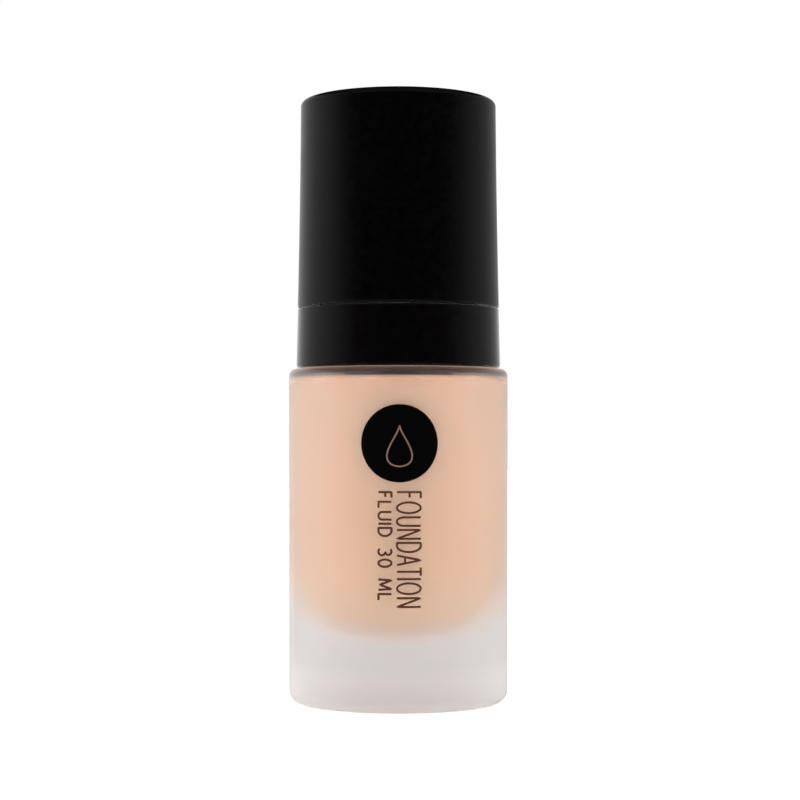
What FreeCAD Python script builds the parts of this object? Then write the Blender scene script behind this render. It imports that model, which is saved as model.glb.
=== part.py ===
import FreeCAD, Part
import math
import os
from FreeCAD import Vector

# A 30 ml foundation bottle with a treatment pump, in millimetres.
# A heavy-based frosted glass bottle holds the liquid. A screw closure, dressed by a black collar, clamps the
# pump to the threaded neck, and a black overcap pulls off over the pump's actuator.
# The origin is the centre of the base, +Z runs up the bottle's axis and -Y is the front, where the nozzle
# points.

# Driving dimensions: the glass bottle
BOTTLE_RADIUS = 18.5
SHOULDER_Z = 56.0
BASE_ROUNDING = 2.0
SHOULDER_ROUNDING = 1.2
PUSH_UP_RADIUS = 12.5
PUSH_UP_RISE = 0.9
GLASS_WALL = 2.5
GLASS_BASE = 11.3
GLASS_SHOULDER = 1.5
CAVITY_ROUNDING = 13.0
NECK_RADIUS = 8.85
NECK_BORE = 6.0
NECK_TOP_Z = 65.6

# Driving dimensions: the 20-400 neck finish, a right-hand thread of one turn and a little more
THREAD_PITCH = 3.175
THREAD_TURNS = 1.1
THREAD_DEPTH = 1.1
THREAD_CLEARANCE = 0.3
THREAD_START_Z = 59.2

# Driving dimensions: the overcap and the collar, which share one gently flared outline
CAP_TOP_Z = 101.3
CAP_TOP_RADIUS = 16.45
CAP_MIDDLE_Z = 83.3
CAP_MIDDLE_RADIUS = 16.66
SEAM_Z = 66.15
SEAM_GAP = 0.25
SEAM_RADIUS = 17.0
COLLAR_BOTTOM_Z = 56.05
COLLAR_BOTTOM_RADIUS = 17.22
CAP_CROWN = 0.15
CAP_ROUNDING = 0.9
SHELL_WALL = 1.2
CAP_ROOF = 1.5
SPIGOT_RADIUS = 13.3
SPIGOT_TOP_Z = 70.2

# Driving dimensions: the pump
PUMP_STROKE = 4.0
BARREL_BORE = 4.3
BARREL_RADIUS = 5.3
BARREL_FLOOR_Z = 50.0
STEM_RADIUS = 2.0
STEM_BORE = 1.1
STEM_TOP_Z = 84.0
BALL_RADIUS = 1.6
SEAT_BORE = 1.0
TUBE_RADIUS = 1.6
TUBE_BORE = 1.15
TUBE_BOTTOM_Z = 12.7
HEAD_RADIUS = 9.6
HEAD_BOTTOM_Z = 75.2
HEAD_TOP_Z = 92.5
NOZZLE_Z = 87.6
NOSE_REACH = 12.4
RUNNING = 0.05
SNUG = 0.02

# Heights worked out from the driving dimensions
CAVITY_RADIUS = BOTTLE_RADIUS - GLASS_WALL
CEILING_Z = SHOULDER_Z - GLASS_SHOULDER
FLANGE_Z = NECK_TOP_Z + 0.9
FLANGE_TOP_Z = FLANGE_Z + 1.0
DECK_Z = FLANGE_TOP_Z + 0.1
DECK_TOP_Z = DECK_Z + 1.3
CAP_BOTTOM_Z = SEAM_Z + SEAM_GAP
STEM_FOOT_Z = BARREL_FLOOR_Z + 2 * PUMP_STROKE
PISTON_Z = STEM_FOOT_Z + 1.3
SEAT_Z = BARREL_FLOOR_Z - 4.0
BALL_Z = SEAT_Z - SEAT_BORE + BALL_RADIUS * math.sqrt(2) + 0.03
SOCKET_Z = SEAT_Z - 1.5


BENDS = ("arc", "bow")


def outline_edges(corners):
    """The closed outline through corners (radius, height[, rounding]).

    A corner marked "arc" is no corner: the side it stands on bends through it as an arc of a circle.
    One marked "bow" bends its side the same way as a parabola.
    """
    points = [Vector(corner[0], 0, corner[1]) for corner in corners]
    marks = [corner[2] if len(corner) > 2 else 0 for corner in corners]
    count = len(corners)
    edges = []
    entries, exits, arcs = {}, {}, {}
    for i in range(count):
        if marks[i] in BENDS:
            continue
        entries[i] = exits[i] = points[i]
        if marks[i]:
            back = (points[i - 1] - points[i]).normalize()
            ahead = (points[(i + 1) % count] - points[i]).normalize()
            half = back.getAngle(ahead) / 2
            inward = (back + ahead).normalize()
            entries[i] = points[i] + back * (marks[i] / math.tan(half))
            exits[i] = points[i] + ahead * (marks[i] / math.tan(half))
            middle = points[i] + inward * (marks[i] / math.sin(half) - marks[i])
            arcs[i] = Part.Arc(entries[i], middle, exits[i]).toShape()
    for i in range(count):
        if marks[i] in BENDS:
            continue
        if i in arcs:
            edges.append(arcs[i])
        after = (i + 1) % count
        end = points[(i + 2) % count]
        if marks[after] == "arc":
            edges.append(Part.Arc(exits[i], points[after], end).toShape())
        elif marks[after] == "bow":
            bow = Part.BezierCurve()
            bow.setPoles([exits[i], points[after] * 2 - (exits[i] + end) * 0.5, end])
            edges.append(bow.toShape())
        elif (entries[after] - exits[i]).Length > 1e-6:
            edges.append(Part.LineSegment(exits[i], entries[after]).toShape())
    return edges


def turned(*corners):
    """A solid of revolution about Z whose half section has these corners."""
    face = Part.Face(Part.Wire(outline_edges(corners)))
    solid = face.revolve(Vector(0, 0, 0), Vector(0, 0, 1), 360)
    return solid


def soften(shape, rounding, *rings):
    """Rounds the circular edges that have the given (radius, height)."""
    edges = []
    for edge in shape.Edges:
        if not edge.Degenerated and isinstance(edge.Curve, Part.Circle):
            here = (edge.Curve.Radius, edge.Curve.Center.z)
            if any(math.dist(here, ring) < 1e-3 for ring in rings):
                edges.append(edge)
    return shape.makeFillet(rounding, edges)


def rod(radius, low, high):
    """A solid cylinder on the bottle's axis."""
    return Part.makeCylinder(radius, high - low, Vector(0, 0, low))


def tube(radius, bore, low, high):
    """A plain tube on the bottle's axis."""
    return rod(radius, low, high).cut(rod(bore, low, high))


def cross_rod(radius, near, far, height):
    """A cylinder along -Y, from near to far in front of the axis."""
    return Part.makeCylinder(radius, far - near, Vector(0, -near, height), Vector(0, -1, 0))


def fins(count, inner, outer, width, low, high, first_angle=0.0):
    """Upright fins spaced evenly round the axis, from the inner to the outer radius."""
    made = []
    for i in range(count):
        fin = Part.makeBox(outer - inner, width, high - low, Vector(inner, -width / 2, low))
        fin.rotate(Vector(0, 0, 0), Vector(0, 0, 1), first_angle + 360.0 * i / count)
        made.append(fin)
    return made


def thread_ridge(wall, crest, root_width, crest_width, start_z, turns, sink=0.4):
    """A right-hand helical ridge with a trapezoid section, its root sunk into the wall that carries it."""
    inward = 1 if wall > crest else -1
    root = wall + inward * sink
    helix = Part.makeHelix(THREAD_PITCH, THREAD_PITCH * turns, root)
    section = Part.makePolygon([
        Vector(root, 0, -root_width / 2),
        Vector(crest, 0, -crest_width / 2),
        Vector(crest, 0, crest_width / 2),
        Vector(root, 0, root_width / 2),
        Vector(root, 0, -root_width / 2),
    ])
    sweep = Part.BRepOffsetAPI.MakePipeShell(helix)
    sweep.setFrenetMode(True)
    sweep.add(section)
    sweep.build()
    sweep.makeSolid()
    ridge = sweep.shape()
    ridge.translate(Vector(0, 0, start_z))
    return ridge


def cap_radius(height):
    """The flared outline's radius at a height, on the parabola through its top, middle and collar seam."""
    knots = ((CAP_TOP_Z, CAP_TOP_RADIUS), (CAP_MIDDLE_Z, CAP_MIDDLE_RADIUS), (SEAM_Z, SEAM_RADIUS))
    total = 0
    for here, radius in knots:
        share = 1
        for other, _ in knots:
            if other != here:
                share *= (height - other) / (here - other)
        total += radius * share
    return total


def halfway(radius, apex_z, drop):
    """The point half way out along a spherical dome that drops from its apex on the axis to its edge."""
    sphere = (radius**2 + drop**2) / (2 * abs(drop))
    fall = sphere - math.sqrt(sphere**2 - radius**2 / 4)
    return (radius / 2, apex_z - math.copysign(fall, drop), "arc")


def glass_bottle():
    """The frosted bottle: a thick base with a push-up, a round-bottomed cavity and a threaded neck."""
    body = turned(
        (0, PUSH_UP_RISE),
        halfway(PUSH_UP_RADIUS, PUSH_UP_RISE, PUSH_UP_RISE),
        (PUSH_UP_RADIUS, 0),
        (BOTTLE_RADIUS, 0, BASE_ROUNDING),
        (BOTTLE_RADIUS, SHOULDER_Z, SHOULDER_ROUNDING),
        (NECK_RADIUS, SHOULDER_Z, 0.8),
        (NECK_RADIUS, NECK_TOP_Z, 0.4),
        (NECK_BORE, NECK_TOP_Z, 0.5),
        (NECK_BORE, CEILING_Z, 1.0),
        (CAVITY_RADIUS, CEILING_Z, 1.5),
        (CAVITY_RADIUS, GLASS_BASE, CAVITY_ROUNDING),
        (0, GLASS_BASE),
    )
    body = soften(body, 4.0, (PUSH_UP_RADIUS, 0))
    ridge = thread_ridge(NECK_RADIUS, NECK_RADIUS + THREAD_DEPTH, 2.3, 0.8, THREAD_START_Z, THREAD_TURNS)
    return body.fuse(ridge)


def foundation_fill():
    """The liquid, filled up to the shoulder, with room for the pump and its dip tube."""
    skin = RUNNING
    room = 0.3
    return turned(
        (TUBE_RADIUS + room, GLASS_BASE + skin),
        (CAVITY_RADIUS - skin, GLASS_BASE + skin, CAVITY_ROUNDING - skin),
        (CAVITY_RADIUS - skin, CEILING_Z - skin, 1.5 - skin),
        (BARREL_RADIUS + room, CEILING_Z - skin),
        (BARREL_RADIUS + room, BARREL_FLOOR_Z - 2.0),
        (2.9 + room, BARREL_FLOOR_Z - 3.0),
        (2.9 + room, SOCKET_Z - 5.5),
        (TUBE_RADIUS + room, SOCKET_Z - 5.5),
    )


def neck_gasket():
    """The foam gasket between the glass land and the pump's flange."""
    return tube(NECK_RADIUS - 0.25, BARREL_RADIUS + 0.75, NECK_TOP_Z, FLANGE_Z)


def pump_housing():
    """The pump's accumulator: flange, barrel, spring ledge, ball seat and the socket for the dip tube."""
    body = turned(
        (BARREL_BORE, FLANGE_TOP_Z),
        (BARREL_BORE, BARREL_FLOOR_Z),
        (BALL_RADIUS + 0.5, BARREL_FLOOR_Z),
        (BALL_RADIUS + 0.5, SEAT_Z + BALL_RADIUS + 0.5 - SEAT_BORE),
        (SEAT_BORE, SEAT_Z),
        (SEAT_BORE, SOCKET_Z),
        (TUBE_RADIUS, SOCKET_Z),
        (TUBE_RADIUS, SOCKET_Z - 5.0),
        (2.9, SOCKET_Z - 5.0, 0.4),
        (2.9, BARREL_FLOOR_Z - 2.8),
        (BARREL_RADIUS, BARREL_FLOOR_Z - 1.2, 0.6),
        (BARREL_RADIUS, FLANGE_Z),
        (NECK_RADIUS - 0.25, FLANGE_Z),
        (NECK_RADIUS - 0.25, FLANGE_TOP_Z),
    )
    keepers = fins(3, BALL_RADIUS - 0.2, BALL_RADIUS + 0.7, 0.6, BARREL_FLOOR_Z - 0.6, BARREL_FLOOR_Z)
    vent = cross_rod(0.4, BARREL_BORE - 1, BARREL_RADIUS + 1, PISTON_Z + 2.6)
    return body.fuse(keepers).cut(vent)


def housing_cap():
    """The turret that snaps into the housing: it guides the stem and holds the pump to the closure's deck."""
    plug_z = FLANGE_TOP_Z - 3.3
    return turned(
        (STEM_RADIUS + RUNNING, plug_z),
        (BARREL_BORE - SNUG, plug_z, 0.3),
        (BARREL_BORE - SNUG, FLANGE_TOP_Z),
        (6.3, FLANGE_TOP_Z),
        (6.3, DECK_TOP_Z + 0.1),
        (7.0, DECK_TOP_Z + 0.1),
        (6.6, DECK_TOP_Z + 0.8),
        (5.0, DECK_TOP_Z + 0.8),
        (5.0, DECK_TOP_Z + 2.6, 0.3),
        (3.4, DECK_TOP_Z + 2.6, 0.3),
        (3.4, DECK_Z),
        (STEM_RADIUS + RUNNING, DECK_Z - 0.8),
    )


def closure_ring():
    """The screw closure: a thread, a deck that clamps the pump's flange, and grip ribs outside."""
    root = NECK_RADIUS + THREAD_DEPTH + THREAD_CLEARANCE
    wall = 11.6
    body = turned(
        (root, COLLAR_BOTTOM_Z + 0.8, 0.3),
        (wall, COLLAR_BOTTOM_Z + 0.8, 0.3),
        (wall, DECK_TOP_Z, 0.4),
        (6.6, DECK_TOP_Z, 0.3),
        (6.6, DECK_Z),
        (root, DECK_Z),
    )
    start_z = THREAD_START_Z - THREAD_PITCH / 2 + 0.2
    ridge = thread_ridge(root, NECK_RADIUS + THREAD_CLEARANCE, 2.0, 0.7, start_z, THREAD_TURNS)
    grips = fins(24, wall - 0.3, 11.95, 0.8, COLLAR_BOTTOM_Z + 2.0, DECK_TOP_Z - 0.6)
    return body.fuse([ridge] + grips)


def collar_shell():
    """The black collar: an outer skirt, a ledge for the cap and a spigot that the cap slides over."""
    ledge_z = SEAM_Z - SHELL_WALL
    sleeve = 12.0
    return turned(
        (COLLAR_BOTTOM_RADIUS - SHELL_WALL, COLLAR_BOTTOM_Z, 0.2),
        (COLLAR_BOTTOM_RADIUS, COLLAR_BOTTOM_Z, 0.25),
        (SEAM_RADIUS, SEAM_Z, 0.2),
        (SPIGOT_RADIUS, SEAM_Z, 0.15),
        (SPIGOT_RADIUS, SEAM_Z + 1.7),
        (SPIGOT_RADIUS + 0.12, SEAM_Z + 2.2, 0.3),
        (SPIGOT_RADIUS, SEAM_Z + 2.7),
        (SPIGOT_RADIUS, SPIGOT_TOP_Z, 0.5),
        (7.7, SPIGOT_TOP_Z, 0.3),
        (7.7, DECK_TOP_Z),
        (sleeve, DECK_TOP_Z),
        (sleeve, COLLAR_BOTTOM_Z + 1.6),
        (SPIGOT_RADIUS, COLLAR_BOTTOM_Z + 1.6),
        (SPIGOT_RADIUS, ledge_z, 0.4),
        (SEAM_RADIUS - SHELL_WALL, ledge_z, 0.4),
    )


def overcap_shell():
    """The black overcap, a flared cup with a slightly crowned roof."""
    roof_z = CAP_TOP_Z - CAP_ROOF
    inner_top = cap_radius(roof_z) - SHELL_WALL
    inner_bottom = cap_radius(CAP_BOTTOM_Z) - SHELL_WALL
    edge_z = CAP_TOP_Z - CAP_CROWN
    middle_z = (edge_z + CAP_BOTTOM_Z) / 2
    upper_z = (edge_z + middle_z) / 2
    lower_z = (middle_z + CAP_BOTTOM_Z) / 2
    shell = turned(
        (0, CAP_TOP_Z),
        halfway(cap_radius(edge_z), CAP_TOP_Z, CAP_CROWN),
        (cap_radius(edge_z), edge_z),
        (cap_radius(upper_z), upper_z, "bow"),
        (cap_radius(middle_z), middle_z),
        (cap_radius(lower_z), lower_z, "bow"),
        (cap_radius(CAP_BOTTOM_Z), CAP_BOTTOM_Z),
        (inner_bottom, CAP_BOTTOM_Z),
        (inner_top, roof_z, 0.6),
        (0, roof_z),
    )
    shell = soften(shell, CAP_ROUNDING, (cap_radius(edge_z), edge_z))
    return soften(shell, 0.2, (cap_radius(CAP_BOTTOM_Z), CAP_BOTTOM_Z))


def overcap_liner():
    """The liner inside the overcap: a cup with snap bead, foot ring and fins that centre it in the shell."""
    bore = SPIGOT_RADIUS + 0.3
    wall = 1.0
    roof_z = CAP_TOP_Z - CAP_ROOF
    foot_z = CAP_BOTTOM_Z + 0.4
    foot_radius = cap_radius(foot_z) - SHELL_WALL
    cup = turned(
        (0, roof_z),
        (bore + wall, roof_z, 0.5),
        (bore + wall, foot_z + 1.0),
        (foot_radius - RUNNING, foot_z + 1.0),
        (foot_radius - RUNNING, foot_z, 0.15),
        (bore, foot_z, 0.3),
        (bore, foot_z + 0.6),
        (bore - 0.12, foot_z + 0.9, 0.2),
        (bore, foot_z + 1.2),
        (bore, roof_z - wall, 0.8),
        (0, roof_z - wall),
    )
    return cup.fuse(fins(12, bore + wall - 0.2, bore + wall + 0.6, 0.7, foot_z + 0.5, roof_z - 1.0))


def pump_stem():
    """The hollow stem, with two ports just above its foot."""
    stem = tube(STEM_RADIUS, STEM_BORE, STEM_FOOT_Z + 1.2, STEM_TOP_Z)
    port = Part.makeBox(6, 0.9, 1.5, Vector(-3, -0.45, STEM_FOOT_Z + 1.2))
    stem = soften(stem, 0.2, (STEM_RADIUS, STEM_TOP_Z))
    return stem.cut(port)


def stem_valve():
    """The valve plug at the stem's foot: a flange that shuts against the piston and takes the spring."""
    plug = turned(
        (0, STEM_FOOT_Z - 0.8),
        (1.8, STEM_FOOT_Z - 0.8, 0.2),
        (1.8, STEM_FOOT_Z),
        (3.3, STEM_FOOT_Z, 0.15),
        (3.3, STEM_FOOT_Z + 0.7),
        (2.2, STEM_FOOT_Z + 1.2),
        (STEM_BORE - SNUG, STEM_FOOT_Z + 1.2),
        (STEM_BORE - SNUG, STEM_FOOT_Z + 5.0, 0.3),
        (0, STEM_FOOT_Z + 5.0),
    )
    flats = [Part.makeBox(1, 3, 5, Vector(x, -1.5, STEM_FOOT_Z + 1.2)) for x in (0.75, -1.75)]
    return plug.cut(flats)


def piston():
    """The sliding seal, an H in section with a lip at each end that wipes the barrel."""
    lip = BARREL_BORE - RUNNING
    return turned(
        (STEM_RADIUS + RUNNING, PISTON_Z),
        (2.9, PISTON_Z, 0.15),
        (2.9, PISTON_Z + 1.6, 0.2),
        (3.7, PISTON_Z + 1.6, 0.2),
        (lip - 0.25, PISTON_Z - 0.4),
        (lip, PISTON_Z - 0.4),
        (lip - 0.12, PISTON_Z + 0.8),
        (lip - 0.12, PISTON_Z + 3.2),
        (lip, PISTON_Z + 4.4),
        (lip - 0.25, PISTON_Z + 4.4),
        (3.7, PISTON_Z + 2.5, 0.2),
        (2.9, PISTON_Z + 2.5, 0.2),
        (2.9, PISTON_Z + 4.0, 0.15),
        (STEM_RADIUS + RUNNING, PISTON_Z + 4.0),
    )


def return_spring():
    """The stainless return spring from the barrel's floor to the stem valve, its wire drawn twelve-sided."""
    wire = 0.25
    coil = 2.9
    turns = 6
    sides = 12
    low = BARREL_FLOOR_Z + wire + 0.02
    high = STEM_FOOT_Z - wire - 0.02
    helix = Part.makeHelix((high - low) / turns, high - low, coil)
    angles = [2 * math.pi * i / sides for i in range(sides)]
    corners = [Vector(coil + wire * math.cos(a), 0, wire * math.sin(a)) for a in angles]
    section = Part.makePolygon(corners + corners[:1])
    sweep = Part.BRepOffsetAPI.MakePipeShell(helix)
    sweep.setFrenetMode(True)
    sweep.add(section)
    sweep.build()
    sweep.makeSolid()
    spring = sweep.shape()
    spring.translate(Vector(0, 0, low))
    return spring


def check_ball():
    """The inlet check ball, resting in its cone."""
    return Part.makeSphere(BALL_RADIUS, Vector(0, 0, BALL_Z))


def dip_tube():
    """The dip tube, pushed up into the housing's socket and cut on a slant at its foot."""
    pipe = tube(TUBE_RADIUS - SNUG, TUBE_BORE, TUBE_BOTTOM_Z, SOCKET_Z)
    slant = Part.makeBox(8, 8, 4, Vector(-4, 0, -4))
    slant.rotate(Vector(0, 0, 0), Vector(1, 0, 0), 35)
    slant.translate(Vector(0, -TUBE_RADIUS, TUBE_BOTTOM_Z))
    return pipe.cut(slant)


def actuator_shell():
    """The push button: a round cup with a dished top and a hole for the spout."""
    wall = 1.2
    dish = 0.9
    shell = turned(
        (0, HEAD_TOP_Z - dish),
        halfway(HEAD_RADIUS - 1.4, HEAD_TOP_Z - dish, -dish),
        (HEAD_RADIUS - 1.4, HEAD_TOP_Z),
        (HEAD_RADIUS, HEAD_TOP_Z, 0.7),
        (HEAD_RADIUS, HEAD_BOTTOM_Z, 0.3),
        (HEAD_RADIUS - wall, HEAD_BOTTOM_Z, 0.2),
        (HEAD_RADIUS - wall, HEAD_TOP_Z - dish - 1.3, 0.5),
        (0, HEAD_TOP_Z - dish - 1.3),
    )
    return shell.cut(cross_rod(2.45, 0, HEAD_RADIUS + 2, NOZZLE_Z))


def actuator_core():
    """The core inside the button: stem socket, foot disc, stiffening fins and the spout with its channel."""
    disc_z = HEAD_BOTTOM_Z + 0.8
    roof_z = HEAD_TOP_Z - 0.9 - 1.3
    inner = HEAD_RADIUS - 1.2 - RUNNING
    post = rod(3.4, disc_z, roof_z)
    disc = rod(inner, disc_z, disc_z + 1.2)
    stays = fins(3, 3.0, inner, 0.9, disc_z + 0.5, roof_z, 30.0)
    body = post.fuse([disc, cross_rod(2.4, 0, NOSE_REACH, NOZZLE_Z)] + stays)
    rim = [e for e in body.Edges if e.BoundBox.YMax < 0.1 - NOSE_REACH]
    body = body.makeFillet(0.4, rim)
    socket = rod(STEM_RADIUS + RUNNING, disc_z - 1, STEM_TOP_Z + RUNNING)
    riser = rod(0.9, STEM_TOP_Z - 1, NOZZLE_Z)
    channel = cross_rod(0.9, 0, NOSE_REACH + 1, NOZZLE_Z)
    pocket = cross_rod(1.5, NOSE_REACH - 2.6, NOSE_REACH + 1, NOZZLE_Z)
    elbow = Part.makeSphere(0.9, Vector(0, 0, NOZZLE_Z))
    return body.cut([socket, riser, channel, pocket, elbow])


def nozzle_tip():
    """The orifice insert pressed into the end of the spout."""
    tip = cross_rod(1.5 - SNUG, NOSE_REACH - 2.6, NOSE_REACH - 0.2, NOZZLE_Z)
    return tip.cut(cross_rod(0.6, NOSE_REACH - 3, NOSE_REACH, NOZZLE_Z))


NODES = (
    glass_bottle,
    foundation_fill,
    neck_gasket,
    pump_housing,
    housing_cap,
    closure_ring,
    collar_shell,
    overcap_shell,
    overcap_liner,
    pump_stem,
    stem_valve,
    piston,
    return_spring,
    check_ball,
    dip_tube,
    actuator_shell,
    actuator_core,
    nozzle_tip,
)


def main():
    """Builds every node and writes it as a STEP file under its own name."""
    os.makedirs("parts", exist_ok=True)
    for node in NODES:
        shape = node()
        if shape.ShapeType != "Solid":
            shape = Part.makeCompound(shape.Solids) if len(shape.Solids) > 1 else shape.Solids[0]
        shape.exportStep(f"parts/{node.__name__}.step")
        box = shape.optimalBoundingBox()
        print(f"{node.__name__:16s} valid {shape.isValid()} solids {len(shape.Solids)} "
              f"volume {shape.Volume:9.1f} z {box.ZMin:7.2f} to {box.ZMax:7.2f} x {box.XLength:6.2f}")


main()
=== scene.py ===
"""Visual model of a 30 ml foundation bottle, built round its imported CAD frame.

The frosted glass, the liquid, the black overcap and collar, the return spring and the print are surfaces
worked out here. The rest of the pump keeps its CAD solids and gets its finishes. Every finish is procedural.
Lengths are in millimetres until a surface becomes a Blender mesh, which is in metres.
"""

from __future__ import annotations

import logging
import math
from dataclasses import dataclass
from enum import Enum
from functools import reduce

import bpy
import numpy as np
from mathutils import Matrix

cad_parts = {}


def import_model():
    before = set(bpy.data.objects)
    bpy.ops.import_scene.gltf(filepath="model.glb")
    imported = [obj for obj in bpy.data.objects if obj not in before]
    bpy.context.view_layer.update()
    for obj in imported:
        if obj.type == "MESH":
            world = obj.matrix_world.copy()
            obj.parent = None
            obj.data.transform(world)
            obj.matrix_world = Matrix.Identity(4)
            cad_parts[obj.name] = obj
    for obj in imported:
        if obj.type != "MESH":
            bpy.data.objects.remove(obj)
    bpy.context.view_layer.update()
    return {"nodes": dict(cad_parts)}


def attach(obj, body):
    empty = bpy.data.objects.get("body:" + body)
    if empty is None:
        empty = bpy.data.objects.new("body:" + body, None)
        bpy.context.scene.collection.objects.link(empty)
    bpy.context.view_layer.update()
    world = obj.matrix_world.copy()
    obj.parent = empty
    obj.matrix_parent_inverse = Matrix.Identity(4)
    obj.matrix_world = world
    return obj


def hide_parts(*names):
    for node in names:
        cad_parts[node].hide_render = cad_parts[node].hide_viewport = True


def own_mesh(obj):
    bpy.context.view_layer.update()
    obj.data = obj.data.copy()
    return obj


LOG = logging.getLogger("foundation_bottle")
MM = 0.001

FACE_WEIGHT = 80

Colour = tuple[float, float, float]
Place = tuple[float, float, float]


class Body(Enum):
    """The CAD bodies that pieces ride on."""

    BOTTLE = "bottle"
    CLOSURE = "closure"
    OVERCAP = "overcap"
    PUMP = "pump_body"


class Slot(Enum):
    """The record's material slots, one named with each new piece."""

    GLASS = "frosted_glass"
    LIQUID = "foundation_liquid"
    CAP = "black_cap"
    SPRING = "spring_steel"


# ---------------------------------------------------------------- surfaces


@dataclass
class Surface:
    """A closed surface as whole arrays, before it becomes a mesh.

    Attributes:
        points: (n, 3) positions, in millimetres for the bottle and in metres for the studio.
        faces: arrays of point numbers, one array for each face size.
        rim: (n,) how near each point is to a rounded edge, from 0 to 1.
    """

    points: np.ndarray
    faces: list[np.ndarray]
    rim: np.ndarray

    def joined(self, other: "Surface") -> "Surface":
        """Returns this surface and another as one, each still closed in itself.

        Args:
            other: the surface to add.
        """
        shifted = [f + len(self.points) for f in other.faces]
        return Surface(
            np.vstack([self.points, other.points]),
            self.faces + shifted,
            np.concatenate([self.rim, other.rim]),
        )

    def volume(self) -> float:
        """Returns the signed volume inside, a sum of the tetrahedra from the origin to each triangle."""
        total = 0.0
        for block in self.faces:
            first = self.points[block[:, 0]]
            for k in range(1, block.shape[1] - 1):
                second = self.points[block[:, k]]
                third = self.points[block[:, k + 1]]
                total += float(np.einsum("ij,ij->", first, np.cross(second, third))) / 6
        return total

    def outward(self) -> "Surface":
        """Returns the surface with its faces pointing out, turned round if its volume is negative."""
        if self.volume() < 0:
            return Surface(self.points, [f[:, ::-1] for f in self.faces], self.rim)
        return self

    def to_object(self, name: str, material: bpy.types.Material, unit: float = MM) -> bpy.types.Object:
        """Puts the surface into a smooth-shaded mesh object at the origin.

        Args:
            name: the piece's name.
            material: its finish.
            unit: the length of one step of its points in metres.

        Returns:
            The new object, linked to the scene.
        """
        mesh = bpy.data.meshes.new(name)
        faces = [face for block in self.faces for face in block.tolist()]
        mesh.from_pydata((self.points * unit).tolist(), [], faces)
        mesh.validate()
        mesh.shade_smooth()
        rim = mesh.attributes.new("rim", "FLOAT", "POINT")
        rim.data.foreach_set("value", self.rim.astype(np.float32))
        mesh.materials.append(material)
        piece = bpy.data.objects.new(name, mesh)
        bpy.context.scene.collection.objects.link(piece)
        return piece


@dataclass
class Outline:
    """A closed half section: (n, 2) radius and height in millimetres, and (n,) rim."""

    points: np.ndarray
    rim: np.ndarray


def rounded_outline(corners: np.ndarray, spacing: float = 1.2, hold: float = 0.12, steps: int = 7) -> Outline:
    """Rounds the corners of a polygon and divides its long sides.

    At a corner with rounding p and half angle h between its sides, the arc's centre lies p / sin(h) along the
    bisector and the arc starts p / tan(h) from the corner. A point just past each end of the arc holds the
    flat side flat under smooth shading.

    Args:
        corners: (n, 3) radius, height and rounding.
        spacing: the longest side left undivided.
        hold: how far past an arc its holding point stands.
        steps: points along each arc.

    Returns:
        The outline, its rim 1 along the arcs and 0 on the sides.
    """
    place, rounding = corners[:, :2], corners[:, 2]
    back = np.roll(place, 1, axis=0) - place
    ahead = np.roll(place, -1, axis=0) - place
    back_length = np.linalg.norm(back, axis=1)
    ahead_length = np.linalg.norm(ahead, axis=1)
    back /= back_length[:, None]
    ahead /= ahead_length[:, None]
    half = np.arccos(np.clip(np.einsum("ij,ij->i", back, ahead), -1, 1)) / 2
    bisector = back + ahead
    bisector /= np.maximum(np.linalg.norm(bisector, axis=1), 1e-9)[:, None]
    trim = np.where(rounding > 0, rounding / np.tan(half), 0.0)
    entry = place + back * trim[:, None]
    leave = place + ahead * trim[:, None]
    centre = place + bisector * (rounding / np.sin(half))[:, None]
    turn = np.linspace(0, 1, steps)[None, :]
    sweep = (math.pi - 2 * half)[:, None]
    from_entry = (entry - centre)[:, None, :]
    from_leave = (leave - centre)[:, None, :]
    blend_in = np.sin((1 - turn) * sweep) / np.maximum(np.sin(sweep), 1e-9)
    blend_out = np.sin(turn * sweep) / np.maximum(np.sin(sweep), 1e-9)
    arcs = centre[:, None, :] + from_entry * blend_in[..., None] + from_leave * blend_out[..., None]
    sharp = rounding <= 0
    arcs[sharp] = place[sharp][:, None, :]
    spare_back = back_length - trim - np.roll(trim, 1)
    spare_ahead = ahead_length - trim - np.roll(trim, -1)
    hold_back = np.where(sharp, 0, np.minimum(hold, spare_back * 0.3))
    hold_ahead = np.where(sharp, 0, np.minimum(hold, spare_ahead * 0.3))
    before = (entry + back * hold_back[:, None])[:, None, :]
    after = (leave + ahead * hold_ahead[:, None])[:, None, :]
    points = np.concatenate([before, arcs, after], axis=1).reshape(-1, 2)
    rim = np.zeros((len(corners), steps + 2))
    rim[:, 1:-1] = np.where(sharp, 0.0, 1.0)[:, None]
    rim = rim.ravel()
    keep = np.linalg.norm(points - np.roll(points, 1, axis=0), axis=1) > 1e-5
    return divided(Outline(points[keep], rim[keep]), spacing)


def divided(outline: Outline, spacing: float) -> Outline:
    """Divides the sides of an outline evenly, so that none is longer than the spacing.

    Args:
        outline: the outline, a loop.
        spacing: the longest side left undivided.
    """
    points, rim = outline.points, outline.rim
    length = np.linalg.norm(np.roll(points, -1, axis=0) - points, axis=1)
    parts = np.maximum(1, np.ceil(length / spacing)).astype(int)
    owner = np.repeat(np.arange(len(points)), parts)
    share = (np.arange(len(owner)) - np.repeat(np.cumsum(parts) - parts, parts)) / parts[owner]
    follower = (owner + 1) % len(points)
    points = points[owner] * (1 - share[:, None]) + points[follower] * share[:, None]
    rim = rim[owner] * (1 - share) + rim[follower] * share
    return Outline(points, rim)


def circle(count: int) -> np.ndarray:
    """Returns (count, 2) points of the unit circle, (cos a, sin a) at even steps of a."""
    angle = np.linspace(0, 2 * math.pi, count, endpoint=False)
    return np.column_stack([np.cos(angle), np.sin(angle)])


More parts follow.
